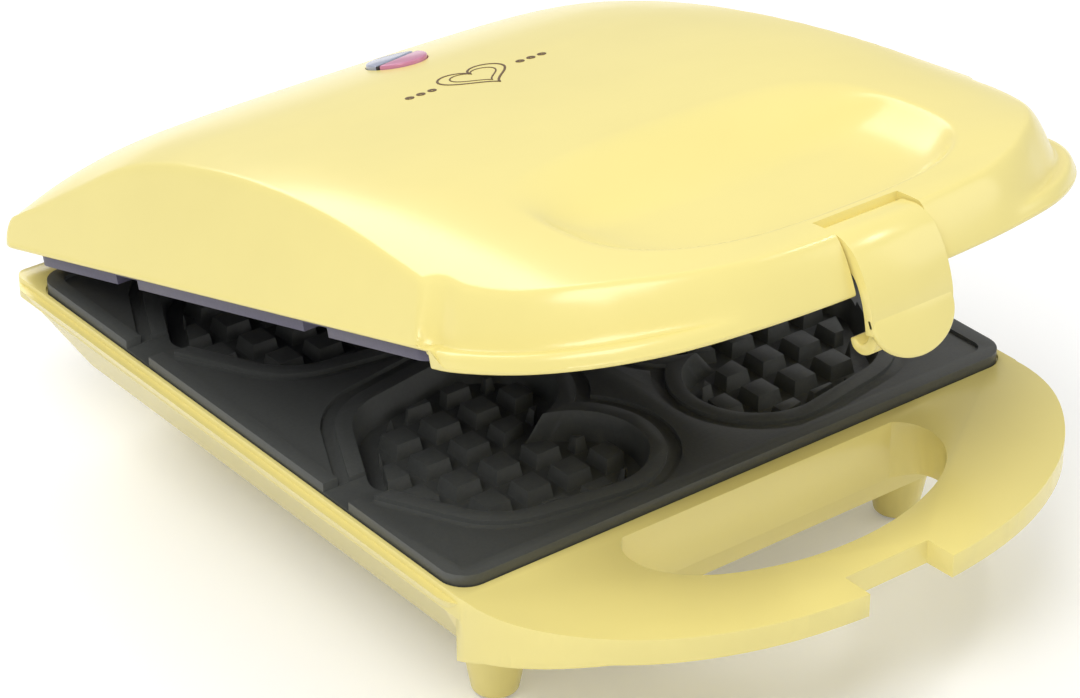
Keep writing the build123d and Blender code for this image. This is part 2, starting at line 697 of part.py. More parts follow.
with BuildPart() as divider:
    with Locations((0, LAMP_Y, LENS_SEAT - 2)):
        Box(
            LENS_SPLIT - 2 * PRESS_FIT,
            2 * LAMP_HALF_Y - 0.8,
            5.4,
            align=(Align.CENTER, Align.CENTER, Align.MIN),
        )
with BuildPart() as lamp_holder:
    with Locations((0, LAMP_Y, LENS_SEAT - 2)):
        Box(30, 24, 9, align=(Align.CENTER, Align.CENTER, Align.MAX))
        Box(26, 20, 7.6, align=(Align.CENTER, Align.CENTER, Align.MAX), mode=Mode.SUBTRACT)
    for side in (-1, 1):
        with Locations((side * 13.9, LAMP_Y, LENS_SEAT - 2)):
            Box(2.2, 24, 1.6, align=(Align.CENTER, Align.CENTER, Align.MIN))
    with Locations((0, LAMP_Y, LENS_SEAT - 2)):
        Box(1.2, 20, 7.6, align=(Align.CENTER, Align.CENTER, Align.MAX))
with BuildPart() as neon_lamps:
    with Locations(*[(sx * 6.5, LAMP_Y, LENS_SEAT - 9.6 + 3) for sx in (-1, 1)]):
        Cylinder(3, 12, rotation=(90, 0, 0))

with BuildPart() as thermostat:
    with Locations((0, LAMP_Y - 57, upper_sheet_z)):
        Cylinder(9, 5, align=(Align.CENTER, Align.CENTER, Align.MIN))
        Cylinder(6.5, 8, align=(Align.CENTER, Align.CENTER, Align.MIN))
    with Locations((-4, LAMP_Y - 57, upper_sheet_z + 8), (4, LAMP_Y - 57, upper_sheet_z + 8)):
        Box(0.8, 6, 4, align=(Align.CENTER, Align.CENTER, Align.MIN))
with BuildPart() as thermal_fuse:
    with Locations((30, LAMP_Y - 57, upper_sheet_z + 2)):
        Cylinder(2, 16, rotation=(0, 90, 0))
        Box(6, 6, 1, align=(Align.CENTER, Align.CENTER, Align.CENTER))


def lead(*points):
    """An insulated lead along a smooth path through some points."""
    with BuildPart() as wire:
        with BuildLine() as path:
            Spline(*points)
        with BuildSketch(Plane(path.line @ 0, z_dir=path.line % 0)):
            Circle(LEAD_RADIUS)
        sweep(path=path.line)
    return wire.part


end_y = MOULD_ROWS[1] + 27 + 0.25
hole_top = floor_top + 9
lead_one = lead(
    (-14, end_y, lower_tube_z),
    (-14, end_y + 5, lower_tube_z),
    (-17.5, BLOCK_Y - 4.5, hole_top + 3.6),
    (-19, BLOCK_Y, hole_top + 2),
    (-19, BLOCK_Y, hole_top - 2.6),
)
lead_two = lead(
    (14, end_y, lower_tube_z),
    (13.5, end_y + 4, lower_tube_z - 0.4),
    (0, end_y + 8.6, hole_top - 1),
    (-20, end_y + 9.6, hole_top - 1.3),
    (-31, BLOCK_Y - 5.5, hole_top + 2.8),
    (-33, BLOCK_Y, hole_top + 2),
    (-33, BLOCK_Y, hole_top - 2.6),
)
lower_leads = Compound(children=[lead_one, lead_two])
lead_three = lead(
    (-14, end_y, upper_tube_z),
    (-14, end_y + 5, upper_tube_z + 1),
    (-12, end_y + 1, upper_tube_z + 11),
    (-7, LAMP_Y + 19, 33),
    (-6.5, LAMP_Y + 12.3, 34),
)
lead_four = lead(
    (14, end_y, upper_tube_z),
    (15, end_y + 5, upper_tube_z + 1),
    (24, end_y - 1, upper_tube_z + 11),
    (26, LAMP_Y, 31),
    (18, LAMP_Y - 41, 31),
    (5.9, LAMP_Y - 57, upper_sheet_z + 11),
)
upper_leads = Compound(children=[lead_three, lead_four])

NODES = {
    "base_shell": base_shell,
    "base_feet": feet.part,
    "base_hinge_lugs": hinge_lugs,
    "foot_pads": foot_pads.part,
    "lower_plate": lower_plate,
    "lower_element": lower_element,
    "lower_element_clips": lower_element_clips,
    "lower_reflector": lower_reflector,
    "lower_plate_screws": lower_plate_screws,
    "hinge_pins": hinge_pins,
    "cord_gland": cord_gland.part,
    "terminal_block": terminal_block.part,
    "lower_leads": lower_leads,
}
LID_NODES = {
    "lid_shell": lid_shell,
    "lid_handle_cover": grip_cover.part,
    "handle_cover_screws": cover_screws.part,
    "upper_plate": upper_plate,
    "upper_plate_studs": studs.part,
    "upper_element": upper_element,
    "upper_element_clips": upper_element_clips,
    "upper_reflector": upper_reflector,
    "upper_leads": upper_leads,
    "thermostat": thermostat.part,
    "thermal_fuse": thermal_fuse.part,
    "lamp_lens_green": lens(-1),
    "lamp_lens_red": lens(1),
    "lamp_divider": divider.part,
    "lamp_holder": lamp_holder.part,
    "neon_lamps": neon_lamps.part,
    "latch": latch.part,
    "latch_pin": latch_pin.part,
}
hinge_axis = Axis((0, HINGE_Y, HINGE_Z), (-1, 0, 0))
for name, part in LID_NODES.items():
    NODES[name] = part.rotate(hinge_axis, REST_ANGLE)
for name, part in NODES.items():
    moved = Pos(0, -ORIGIN_Y, DECK_HEIGHT) * part
    moved.label = name
    export_step(moved, f"parts/{name}.step")
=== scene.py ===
"""Heart waffle maker with its lid a little open.

Shapes are written with the lid closed, in millimetres: X across, Y from the plates' front
edge to the hinge, Z up from the base's deck. to_lid carries them into the frame of the
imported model, in metres; the base's pieces come from that frame as they are.
"""

import math

import bmesh
import bpy
import numpy as np
from mathutils import Matrix, Vector


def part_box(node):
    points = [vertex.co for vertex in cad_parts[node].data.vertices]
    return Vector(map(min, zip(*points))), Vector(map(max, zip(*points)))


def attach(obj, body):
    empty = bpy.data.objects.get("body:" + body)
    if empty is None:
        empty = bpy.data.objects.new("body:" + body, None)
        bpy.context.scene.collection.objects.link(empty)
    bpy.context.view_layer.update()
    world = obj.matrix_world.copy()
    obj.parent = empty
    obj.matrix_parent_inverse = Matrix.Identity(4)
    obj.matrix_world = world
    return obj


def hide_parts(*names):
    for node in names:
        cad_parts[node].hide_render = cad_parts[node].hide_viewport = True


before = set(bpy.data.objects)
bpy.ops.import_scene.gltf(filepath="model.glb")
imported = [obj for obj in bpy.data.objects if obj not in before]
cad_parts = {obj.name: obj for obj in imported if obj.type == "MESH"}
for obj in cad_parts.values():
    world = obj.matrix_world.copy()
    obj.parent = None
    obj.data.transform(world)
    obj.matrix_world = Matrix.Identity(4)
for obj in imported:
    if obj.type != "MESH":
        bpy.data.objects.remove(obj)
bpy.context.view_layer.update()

# where the closed-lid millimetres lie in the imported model
DECK_HEIGHT = 51.0
ORIGIN_Y = 82.08
REST_ANGLE = math.radians(15.9)
HINGE_Y = 226.0
HINGE_Z = 3.0

# lid
LID_HALF = 104.0
LID_BACK = 229.0
BACK_CORNER = 12.0
LID_RIM = 8.5
GRIP_RIM = 4.0
GRIP_BACK = -4.0
SHELL_THICK = 2.3
RIM_ROUND = 0.8
# rings of the rounded rim, as (distance inwards, rise over the rim)
RIM_STEPS = ((0.0, RIM_ROUND - 0.1), (0.25, 0.25), (RIM_ROUND, 0.0), (1.9, 0.0), (2.2, 0.5))

# points nearer than this, in metres, become one
MERGE = 1e-6
BEVEL_ANGLE = math.radians(28)
SMOOTH_ANGLE = math.radians(35)


def to_lid(points):
    """Closed-lid millimetres to the lid's rest place, in metres."""
    points = np.asarray(points, float)
    dy = points[:, 1] - HINGE_Y
    dz = points[:, 2] - HINGE_Z
    c, s = math.cos(REST_ANGLE), math.sin(REST_ANGLE)
    out = points.copy()
    out[:, 1] = HINGE_Y + dy * c + dz * s - ORIGIN_Y
    out[:, 2] = HINGE_Z - dy * s + dz * c + DECK_HEIGHT
    return out / 1000.0


def new_mesh(name, points, faces):
    mesh = bpy.data.meshes.new(name)
    mesh.from_pydata([tuple(p) for p in points], [], [tuple(f) for f in faces])
    mesh.update()
    obj = bpy.data.objects.new(name, mesh)
    bpy.context.scene.collection.objects.link(obj)
    return obj


def bake_modifiers(obj):
    """The evaluated shape becomes the object's own mesh."""
    graph = bpy.context.evaluated_depsgraph_get()
    mesh = bpy.data.meshes.new_from_object(obj.evaluated_get(graph))
    obj.modifiers.clear()
    obj.data = mesh
    return obj


def smooth(obj, angle=SMOOTH_ANGLE):
    """Smooth shading, with edges sharper than the angle kept sharp."""
    for face in obj.data.polygons:
        face.use_smooth = True
    obj.data.set_sharp_from_angle(angle=angle)


def soft_min(a, b, blend):
    """The smaller of two values, rounded where they are nearer than blend."""
    h = np.clip(blend - np.abs(a - b), 0, None) / blend
    return np.minimum(a, b) - h * h * blend / 4


def soft_max(a, b, blend):
    return -soft_min(-a, -b, blend)


def ramp_between(value, low, high):
    """0 below low, 1 above high, with a smooth rise between."""
    t = np.clip((value - low) / (high - low), 0, 1)
    return t * t * (3 - 2 * t)


def rounded(obj, width, segments=3):
    """Rounds the object's sharp edges by a width in millimetres."""
    bevel = obj.modifiers.new("edges", "BEVEL")
    bevel.width = width / 1000
    bevel.segments = segments
    bevel.limit_method = "ANGLE"
    bevel.angle_limit = BEVEL_ANGLE
    bevel.use_clamp_overlap = True
    return bake_modifiers(obj)


def paint(holder, material):
    """One material for a whole mesh."""
    holder.materials.clear()
    holder.materials.append(material)


def fit(obj, material, node, body):
    """The object takes the place of a node, rides its body and fills its material slot."""
    paint(obj.data, material)
    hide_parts(node)
    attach(obj, body)


def soft_copy(node, width):
    """A CAD node's shape with its doubles merged and its sharp edges rounded, in its place."""
    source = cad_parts[node]
    mesh = source.data.copy()
    obj = bpy.data.objects.new(node + "_soft", mesh)
    bpy.context.scene.collection.objects.link(obj)
    obj.matrix_world = source.matrix_world.copy()
    work = bmesh.new()
    work.from_mesh(mesh)
    bmesh.ops.transform(work, matrix=source.matrix_world, verts=work.verts)
    bmesh.ops.remove_doubles(work, verts=work.verts, dist=MERGE)
    flat = math.radians(1.0)
    bmesh.ops.dissolve_limit(
        work, angle_limit=flat, verts=work.verts, edges=work.edges, delimit={"NORMAL"}
    )
    work.to_mesh(mesh)
    work.free()
    obj.matrix_world = Matrix.Identity(4)
    rounded(obj, width, 2)
    smooth(obj)
    return obj


# materials
def base_material(name):
    """A new material, with its nodes, their links and its shader."""
    material = bpy.data.materials.new(name)
    material.use_nodes = True
    nodes = material.node_tree.nodes
    return material, nodes, material.node_tree.links, nodes["Principled BSDF"]


def noise(nodes, links, scale, detail):
    """Grain fixed to the object, finer with a larger scale."""
    place = nodes.new("ShaderNodeTexCoord")
    texture = nodes.new("ShaderNodeTexNoise")
    texture.inputs["Scale"].default_value = scale
    texture.inputs["Detail"].default_value = detail
    texture.inputs["Roughness"].default_value = 0.5
    links.new(place.outputs["Object"], texture.inputs["Vector"])
    return texture


def varied_colour(nodes, links, shader, texture, dark, light):
    """Base colour that follows a texture from dark to light."""
    ramp = nodes.new("ShaderNodeValToRGB")
    ramp.color_ramp.elements[0].position = 0.3
    ramp.color_ramp.elements[1].position = 0.7
    ramp.color_ramp.elements[0].color = (*dark, 1)
    ramp.color_ramp.elements[1].color = (*light, 1)
    links.new(texture.outputs["Fac"], ramp.inputs["Fac"])
    links.new(ramp.outputs["Color"], shader.inputs["Base Color"])


def bump(nodes, links, shader, texture, strength, distance):
    """Fine unevenness from a texture; the distance is in metres."""
    node = nodes.new("ShaderNodeBump")
    node.inputs["Strength"].default_value = strength
    node.inputs["Distance"].default_value = distance
    links.new(texture.outputs["Fac"], node.inputs["Height"])
    links.new(node.outputs["Normal"], shader.inputs["Normal"])


def tinted(name, colour, drift, scale):
    """A new material whose colour drifts by a small share to both sides of the one given."""
    material, nodes, links, shader = base_material(name)
    tint = noise(nodes, links, scale, 3)
    dark = tuple(c * (1 - drift) for c in colour)
    light = tuple(min(1, c * (1 + drift)) for c in colour)
    varied_colour(nodes, links, shader, tint, dark, light)
    return material, nodes, links, shader


def glossy_plastic(name, colour, roughness=0.22):
    """Moulded plastic with a slightly wavy shine."""
    material, nodes, links, shader = tinted(name, colour, 0.02, 18)
    wave = noise(nodes, links, 60, 2)
    bump(nodes, links, shader, wave, 0.05, 0.0006)
    shader.inputs["Roughness"].default_value = roughness
    shader.inputs["IOR"].default_value = 1.5
    return material


def plain(name, colour, roughness, metallic=0.0, scale=40, drift=0.06):
    """An even material, metal where metallic is 1."""
    material, _, _, shader = tinted(name, colour, drift, scale)
    shader.inputs["Roughness"].default_value = roughness
    shader.inputs["Metallic"].default_value = metallic
    return material


def nonstick(name, colour):
    """Dark coating with fine specks and a fine grain."""
    material, nodes, links, shader = base_material(name)
    speck = noise(nodes, links, 900, 2)
    varied_colour(nodes, links, shader, speck, tuple(0.88 * c for c in colour), colour)
    grain = noise(nodes, links, 1400, 2)
    bump(nodes, links, shader, grain, 0.12, 0.0002)
    shader.inputs["Roughness"].default_value = 0.42
    return material


yellow = glossy_plastic("yellow_gloss_plastic", (0.87, 0.75, 0.27))
coating = nonstick("dark_nonstick", (0.08, 0.084, 0.079))
violet_coating = nonstick("violet_nonstick", (0.095, 0.086, 0.14))
rubber = plain("black_rubber", (0.03, 0.03, 0.03), 0.7)
steel = plain("zinc_steel", (0.6, 0.6, 0.58), 0.35, 1.0)
tube = plain("heat_tinted_tube", (0.3, 0.27, 0.24), 0.45, 1.0)
bright_sheet = plain("bright_sheet", (0.8, 0.8, 0.8), 0.25, 1.0)
ceramic = plain("pale_ceramic", (0.75, 0.73, 0.67), 0.5)
sleeve = plain("woven_sleeve", (0.7, 0.68, 0.62), 0.8, 0.0, 900, 0.2)
dark = plain("dark_plastic", (0.03, 0.03, 0.035), 0.4)
white = plain("white_plastic", (0.8, 0.8, 0.78), 0.5)
lens_red = glossy_plastic("pink_lens", (0.578, 0.223, 0.352), 0.15)
lens_green = glossy_plastic("grey_lens", (0.352, 0.376, 0.485), 0.15)
ink = plain("brown_ink", (0.11, 0.055, 0.012), 0.5)

# height of the lid's crown along Y, as (Y, Z) pairs
TOP_LINE = (
    (-70, 16.0),
    (-66, 19.2),
    (-60, 21.0),
    (-50, 22.8),
    (-40, 24.6),
    (-20, 27.6),
    (0, 31.0),
    (20, 34.2),
    (40, 37.2),
    (60, 39.6),
    (80, 41.4),
    (100, 42.8),
    (120, 44.0),
    (140, 44.4),
    (160, 43.0),
    (180, 39.2),
    (200, 33.2),
    (215, 26.8),
    (226, 20.4),
    (232, 16.5),
)
# how far the shoulder lies below the crown, as (Y, drop) pairs
SHOULDER_DROP = (
    (-70, 5.0),
    (-10, 4.6),
    (20, 4.0),
    (50, 2.8),
    (80, 2.0),
    (100, 2.2),
    (125, 4.0),
    (153, 6.2),
    (188, 7.4),
    (212, 5.0),
    (232, 2.0),
)
# left half of the grip's front edge in plan, as (X, Y) pairs
GRIP_ARC = (
    (-104.0, -4.0),
    (-103.8, -9.0),
    (-101.5, -19.0),
    (-95.5, -33.0),
    (-85.0, -46.0),
    (-68.0, -57.5),
    (-45.0, -64.0),
    (-22.0, -66.8),
    (0.0, -67.3),
)


def interpolate(table, at):
    """Smooth curve through a table, with slopes taken from each point's neighbours."""
    xs = np.array([p[0] for p in table], float)
    ys = np.array([p[1] for p in table], float)
    slopes = np.gradient(ys, xs)
    at = np.clip(at, xs[0], xs[-1])
    i = np.clip(np.searchsorted(xs, at) - 1, 0, len(xs) - 2)
    h = xs[i + 1] - xs[i]
    t = (at - xs[i]) / h
    return (
        (2 * t**3 - 3 * t**2 + 1) * ys[i]
        + (t**3 - 2 * t**2 + t) * h * slopes[i]
        + (-2 * t**3 + 3 * t**2) * ys[i + 1]
        + (t**3 - t**2) * h * slopes[i + 1]
    )


def curve_through(points, count):
    """Evenly spread points along a smooth curve through a list of points."""
    points = np.array(points, float)
    steps = np.r_[0, np.cumsum(np.linalg.norm(np.diff(points, axis=0), axis=1))]
    at = np.linspace(0, steps[-1], count)
    columns = [interpolate(list(zip(steps, column)), at) for column in points.T]
    return np.stack(columns, axis=1)


half_arc = curve_through(GRIP_ARC, 160)
full_arc = np.r_[half_arc, half_arc[-2::-1] * (-1, 1)]


def arc_front(x):
    """The grip's front edge at X."""
    return np.interp(-np.abs(x), half_arc[:, 0], half_arc[:, 1])


def lid_back(x):
    """The lid's back edge at X, with round corners."""
    over = np.clip(np.abs(x) - (LID_HALF - BACK_CORNER), 0, BACK_CORNER)
    return LID_BACK - BACK_CORNER + np.sqrt(np.clip(BACK_CORNER**2 - over**2, 0, None))


def distance_to_arc(x, y):
    """How far a place in plan lies from the grip's front edge."""
    nearest = np.full(x.shape, 1e9)
    for (ax, ay), (bx, by) in zip(full_arc, full_arc[1:]):
        dx, dy = bx - ax, by - ay
        t = np.clip(((x - ax) * dx + (y - ay) * dy) / (dx * dx + dy * dy), 0, 1)
        nearest = np.minimum(nearest, (x - ax - t * dx) ** 2 + (y - ay - t * dy) ** 2)
    return np.sqrt(nearest)


# the crown: its half width, and how its sides fall away
CROWN_HALF = 94.0
CROWN_END = 98.0
CROWN_POWER = 8.0
CROWN_SAG = 1.2

# slopes of the lid's outside, as rise over distance from its edge
SIDE_SLOPE = 2.2
FRONT_SLOPE = 3.4
BACK_SLOPE = 2.4
EDGE_BLEND = 7.0

# the grip's rim: a step up from the edge, and a ledge that is wide at the corners
GRIP_LIP = 0.5
GRIP_SIDE_START = -10.0
FLANGE = 4.2
FLANGE_RISE = 1.6
LEDGE = 5.0
LEDGE_X = (38.0, 72.0)
SIDE_LEDGE = 0.6 * LEDGE
SIDE_LEDGE_Y = (-16.0, 2.0)

# the thumb scoop: middle, reach to the sides, front and back, and its sloping floor
SCOOP_Y = -8.0
SCOOP_HALF_X = 60.5
SCOOP_FRONT = 43.0
SCOOP_BACK = 30.0
SCOOP_FLOOR = 12.5
SCOOP_FLOOR_Y = -50.0
SCOOP_TILT = 0.2
SCOOP_LEAST = 1.0
SCOOP_SQUARE = 2.7
SCOOP_WALL = 6.0
SCOOP_EASE = 3.6
SCOOP_BRINK = 1.2
SCOOP_BRINK_BACK = 6.0


def rim_level(y):
    """Height where the skin meets the rounded rim, lower along the grip than at the sides."""
    grip = GRIP_RIM + RIM_ROUND + GRIP_LIP
    return grip + (LID_RIM - GRIP_RIM - GRIP_LIP) * ramp_between(y, GRIP_SIDE_START, GRIP_BACK)


def lid_form(x, y):
    """Height of the crown between the slopes of the front and the back."""
    side = np.abs(x)
    shoulder = (np.minimum(side, CROWN_END) / CROWN_HALF) ** CROWN_POWER
    sag = CROWN_SAG * (side / CROWN_HALF) ** 2
    body = interpolate(TOP_LINE, y) - interpolate(SHOULDER_DROP, y) * shoulder - sag
    ledge = LEDGE * ramp_between(side, *LEDGE_X)
    inside = distance_to_arc(x, y)
    front = GRIP_RIM + RIM_ROUND + FLANGE * (1 - np.exp(-FLANGE_RISE * inside))
    front += soft_max((inside - ledge) * FRONT_SLOPE, 0.0, 2.5)
    back = LID_RIM + RIM_ROUND + (lid_back(x) - y) * BACK_SLOPE
    return soft_min(soft_min(body, front, EDGE_BLEND), back, EDGE_BLEND)


def scooped(form, x, y):
    """The form with the thumb scoop taken out, steep in front and eased towards the back."""
    away = y - SCOOP_Y
    q_y = np.where(away < 0, np.abs(away) / SCOOP_FRONT, away / SCOOP_BACK)
    q = ((np.abs(x) / SCOOP_HALF_X) ** SCOOP_SQUARE + q_y**SCOOP_SQUARE) ** (1 / SCOOP_SQUARE)
    behind = np.where(away > 0, ramp_between(q_y / np.maximum(q, 1e-3), 0.2, 1.0), 0.0)
    floor = SCOOP_FLOOR + SCOOP_TILT * (y - SCOOP_FLOOR_Y)
    bottom = np.minimum(floor, form - SCOOP_LEAST)
    dish = bottom + (form - bottom) * q ** (SCOOP_WALL - SCOOP_EASE * behind)
    return soft_min(form, dish, SCOOP_BRINK + SCOOP_BRINK_BACK * behind)


def lid_height(x, y):
    """Height of the lid's outside over its plan."""
    ledge = SIDE_LEDGE * (1 - ramp_between(y, *SIDE_LEDGE_Y))
    facet = LID_RIM + RIM_ROUND + soft_max((LID_HALF - np.abs(x) - ledge) * SIDE_SLOPE, 0.0, 1.5)
    form = scooped(lid_form(x, y), x, y)
    return np.maximum(soft_min(form, facet, 1.6), rim_level(y))


GRID_COLUMNS = 221
GRID_ROWS = 241
GRID_DRAW = 1.7


def spread(count):
    """Steps from -1 to 1 that lie closer together at both ends."""
    t = np.linspace(-1, 1, count)
    return np.sign(t) * (1 - (1 - np.abs(t)) ** GRID_DRAW)


def lid_grid(inset):
    """Plan and height of the lid's skin on a grid that follows its outline."""
    columns = spread(GRID_COLUMNS) * LID_HALF
    rows = (spread(GRID_ROWS) + 1) / 2
    start, end = arc_front(columns) + inset, lid_back(columns) - inset
    start[0] = start[-1] = GRIP_BACK
    x = np.repeat(columns[:, None] * (1 - inset / LID_HALF), len(rows), axis=1)
    y = start[:, None] + (end - start)[:, None] * rows[None, :]
    z = lid_height(x, y) - inset * 1.1
    return np.stack([x, y, z], axis=2)


def grid_faces(wide, deep, first, up):
    """Four-sided faces of a grid whose points start at first."""
    faces = []
    for i in range(wide - 1):
        for j in range(deep - 1):
            a = first + i * deep + j
            quad = (a, a + deep, a + deep + 1, a + 1)
            faces.append(quad if up else quad[::-1])
    return faces


def build_lid():
    """The lid's moulding: outer skin, rounded rim and inner skin."""
    outer, inner = lid_grid(0), lid_grid(SHELL_THICK)
    wide, deep = outer.shape[:2]
    for edge in (outer[:, 0], outer[0], outer[-1], outer[:, -1]):
        edge[:, 2] = rim_level(edge[:, 1])
    grip = [(i, 0) for i in range(wide)]
    around = [(wide - 1, j) for j in range(deep)]
    around += [(i, deep - 1) for i in range(wide - 2, -1, -1)]
    around += [(0, j) for j in range(deep - 2, -1, -1)]
    loop = grip + around
    plan = np.array([outer[i, j, :2] for i, j in loop])
    rim = np.array([GRIP_RIM] * len(grip) + [LID_RIM] * len(around))
    along = np.roll(plan, -2, axis=0) - np.roll(plan, 2, axis=0)
    inward = np.stack([-along[:, 1], along[:, 0]], axis=1)
    inward /= np.maximum(np.linalg.norm(inward, axis=1), 1e-9)[:, None]
    points = list(outer.reshape(-1, 3)) + list(inner.reshape(-1, 3))
    faces = grid_faces(wide, deep, 0, True) + grid_faces(wide, deep, wide * deep, False)
    rings = [[i * deep + j for i, j in loop]]
    for step, rise in RIM_STEPS:
        ring = plan + inward * step
        rings.append(list(range(len(points), len(points) + len(loop))))
        points += [(x, y, z + rise) for (x, y), z in zip(ring, rim)]
    rings.append([wide * deep + i * deep + j for i, j in loop])
    count = len(loop)
    for upper, lower in zip(rings, rings[1:]):
        for k in range(count):
            n = (k + 1) % count
            faces.append((upper[k], lower[k], lower[n], upper[n]))
    obj = new_mesh("lid", to_lid(points), faces)
    work = bmesh.new()
    work.from_mesh(obj.data)
    bmesh.ops.remove_doubles(work, verts=work.verts, dist=MERGE)
    bmesh.ops.dissolve_degenerate(work, edges=work.edges, dist=2 * MERGE)
    bmesh.ops.recalc_face_normals(work, faces=work.faces)
    work.to_mesh(obj.data)
    work.free()
    return obj


def closed(points, faces):
    """Object from a closed skin, with its faces turned outwards."""
    obj = new_mesh("closed", points, faces)
    work = bmesh.new()
    work.from_mesh(obj.data)
    bmesh.ops.recalc_face_normals(work, faces=work.faces)
    work.to_mesh(obj.data)
    work.free()
    return obj


def walls(n):
    """Faces between two outlines of n points each."""
    return [(i, (i + 1) % n, n + (i + 1) % n, n + i) for i in range(n)]


def prism(outline, low, high, place):
    """Closed block over an outline in X and Y, between two heights."""
    n = len(outline)
    points = [(*p, low) for p in outline] + [(*p, high) for p in outline]
    faces = [tuple(range(n))[::-1], tuple(range(n, 2 * n)), *walls(n)]
    return closed(place(points), faces)


def cut(obj, tool):
    """Takes the tool's shape out of the object and removes the tool."""
    boolean = obj.modifiers.new("cut", "BOOLEAN")
    boolean.operation = "DIFFERENCE"
    boolean.solver = "MANIFOLD"
    boolean.object = tool
    bake_modifiers(obj)
    bpy.data.objects.remove(tool)


def oval(cx, cy, rx, ry, count=64):
    """Outline of an oval about a middle, with half axes rx and ry."""
    turns = np.linspace(0, 2 * math.pi, count, endpoint=False)
    return [(cx + rx * math.cos(t), cy + ry * math.sin(t)) for t in turns]


# the oval lamp and its opening
LAMP_Y = 149.0
LAMP_HALF_X = 9.0
LAMP_HALF_Y = 10.2
LAMP_SPLIT = 0.6
LAMP_TURN = math.radians(14)
LAMP_GAP = 0.3
LAMP_SUNK = 2.8

# the latch's slot in the grip, open to the front
SLOT_HALF = 14.6
SLOT_BACK = -54.0
SLOT_FRONT = -90.0
SLOT = (
    (-SLOT_HALF, SLOT_FRONT),
    (SLOT_HALF, SLOT_FRONT),
    (SLOT_HALF, SLOT_BACK),
    (-SLOT_HALF, SLOT_BACK),
)

lid = build_lid()
cut(lid, prism(SLOT, -5, 40, to_lid))
cut(lid, prism(oval(0, LAMP_Y, LAMP_HALF_X + LAMP_GAP, LAMP_HALF_Y + LAMP_GAP), 30, 60, to_lid))
smooth(lid, math.radians(40))
fit(lid, yellow, "lid_shell", "lid")


def block(left, right):
    """Closed block between two outlines with as many points each."""
    n = len(left)
    faces = [tuple(range(n)), tuple(range(n, 2 * n))[::-1], *walls(n)]
    return closed(to_lid([*left, *right]), faces)


def prism_across(profile, half):
    """Closed block over a profile in Y and Z, to both sides of the middle."""
    return block([(-half, *p) for p in profile], [(half, *p) for p in profile])


def arc(cy, cz, radius, start, end, count):
    """Points on a circle in Y and Z, between two angles in degrees."""
    turns = np.radians(np.linspace(start, end, count))
    return [(cy + radius * math.cos(t), cz + radius * math.sin(t)) for t in turns]


def joined(name, parts):
    """One object with the meshes of all the parts."""
    work = bmesh.new()
    for part in parts:
        work.from_mesh(part.data)
    mesh = bpy.data.meshes.new(name)
    work.to_mesh(mesh)
    work.free()
    for part in parts:
        bpy.data.objects.remove(part)
    obj = bpy.data.objects.new(name, mesh)
    bpy.context.scene.collection.objects.link(obj)
    return obj


# the latch: its pin's middle, half width, barrel and bore
LATCH_Y = -57.0
LATCH_Z = 15.5
LATCH_HALF = 14.0
HOOK_HALF = LATCH_HALF - 2.0
BARREL = 5.0
BORE = 1.8

# its thumb tab, which leans forward as it goes down
TAB_TOP = -4.5
TAB_DROP = 11.0
TAB_OVERLAP = 3.0
TAB_FRONT = -71.6
TAB_BACK = -69.0
TAB_LEAN = 0.16

# outlines of the strap and of the hook, as (Y, Z) pairs
STRAP_FRONT = (
    (-57, 20.5),
    (-62.8, 19.5),
    (-67.4, 16.0),
    (-70.0, 10.5),
    (-71.3, 4.0),
    (-71.4, -2.0),
    (-70.6, -6.5),
)
STRAP_BACK = (
    (-67.8, -6.5),
    (-68.2, -2.0),
    (-68.0, 4.0),
    (-66.6, 8.8),
    (-63.8, 11.6),
    (-60.6, 12.0),
)
HOOK_OUT = (
    (-70.4, -4.0),
    (-69.2, -9.0),
    (-66.0, -12.5),
    (-62.0, -13.2),
    (-59.2, -11.4),
    (-58.8, -9.0),
)
HOOK_IN = ((-60.6, -8.8), (-62.4, -10.3), (-65.0, -9.4), (-66.6, -6.4), (-67.0, -3.0))


def build_tab():
    """Round thumb tab at the strap's lower end."""
    turns = np.radians(np.linspace(0, -180, 40))
    bow = [(LATCH_HALF * math.cos(t), TAB_TOP + TAB_DROP * math.sin(t)) for t in turns]
    top = TAB_TOP + TAB_OVERLAP
    outline = [(LATCH_HALF, top), *bow, (-LATCH_HALF, top)]
    faces = []
    for y in (TAB_FRONT, TAB_BACK):
        faces.append([(x, y - TAB_LEAN * (TAB_TOP - z), z) for x, z in outline])
    return rounded(block(*faces), 0.9)


def build_latch():
    """Strap that rolls over its pin, with a round thumb tab and a hook behind it."""
    strap_line = [tuple(p) for p in curve_through(STRAP_FRONT, 30)]
    strap_line += [tuple(p) for p in curve_through(STRAP_BACK, 18)]
    strap_line += arc(LATCH_Y, LATCH_Z, BARREL, 225, 445, 26)
    strap = rounded(prism_across(strap_line, LATCH_HALF), 1.1)
    cut(strap, prism_across(arc(LATCH_Y, LATCH_Z, BORE, 0, 345, 24), 30))
    hook_line = [tuple(p) for p in curve_through(HOOK_OUT, 24)]
    hook_line += [tuple(p) for p in curve_through(HOOK_IN, 20)]
    hook = rounded(prism_across(hook_line, HOOK_HALF), 0.5)
    return joined("latch_strap", [strap, hook, build_tab()])


latch = build_latch()
smooth(latch)
fit(latch, yellow, "latch", "latch")


def on_lid(points):
    """Points whose heights are counted from the lid's outside."""
    points = np.array(points, float)
    points[:, 2] += lid_height(points[:, 0], points[:, 1])
    return to_lid(points)


def lamp_piece(name, outline, top, rounding, material, node):
    """Part of the lamp, proud of the lid by top and sunk into its opening."""
    piece = prism(outline, -LAMP_SUNK, top, on_lid)
    rounded(piece, rounding, 4)
    piece.name = name
    smooth(piece)
    fit(piece, material, node, "lid")


